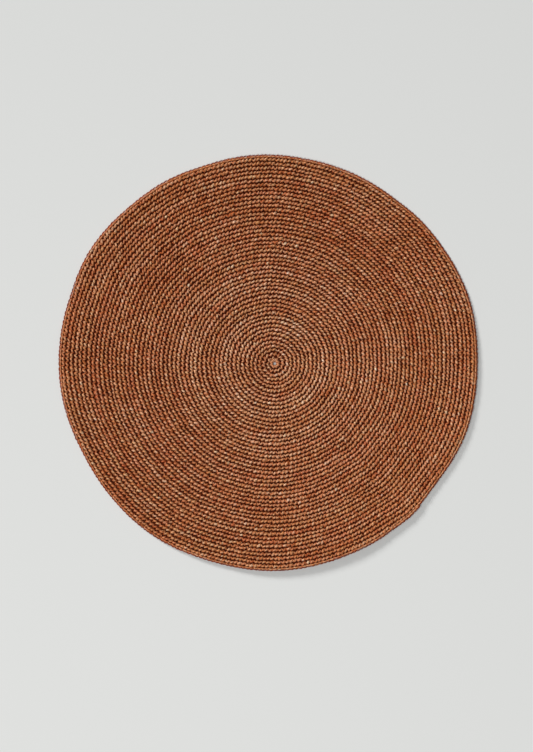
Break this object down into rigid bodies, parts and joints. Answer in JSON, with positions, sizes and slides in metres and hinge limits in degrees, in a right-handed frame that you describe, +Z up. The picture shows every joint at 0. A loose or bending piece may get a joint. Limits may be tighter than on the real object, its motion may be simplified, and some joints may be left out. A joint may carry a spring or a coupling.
{
  "type": "raffia placemat",
  "caption": "Round flat table mat crocheted from dyed raffia in one close spiral, with fine raised rounds, a small open eye and a softly uneven edge.",
  "frame": {"origin": "on the table, under the middle of the outline's box", "axes": "+Z up out of the table, +Y towards the top of the mat as it is seen from above, +X to its right"},
  "size_m": [0.3816, 0.379, 0.0075],
  "materials": {
    "raffia": "terracotta dyed raffia, dry and slightly glossy along the fibre"
  },
  "bodies": {
    "root": {"crocheted_mat": "raffia"}
  },
  "joints": []
}
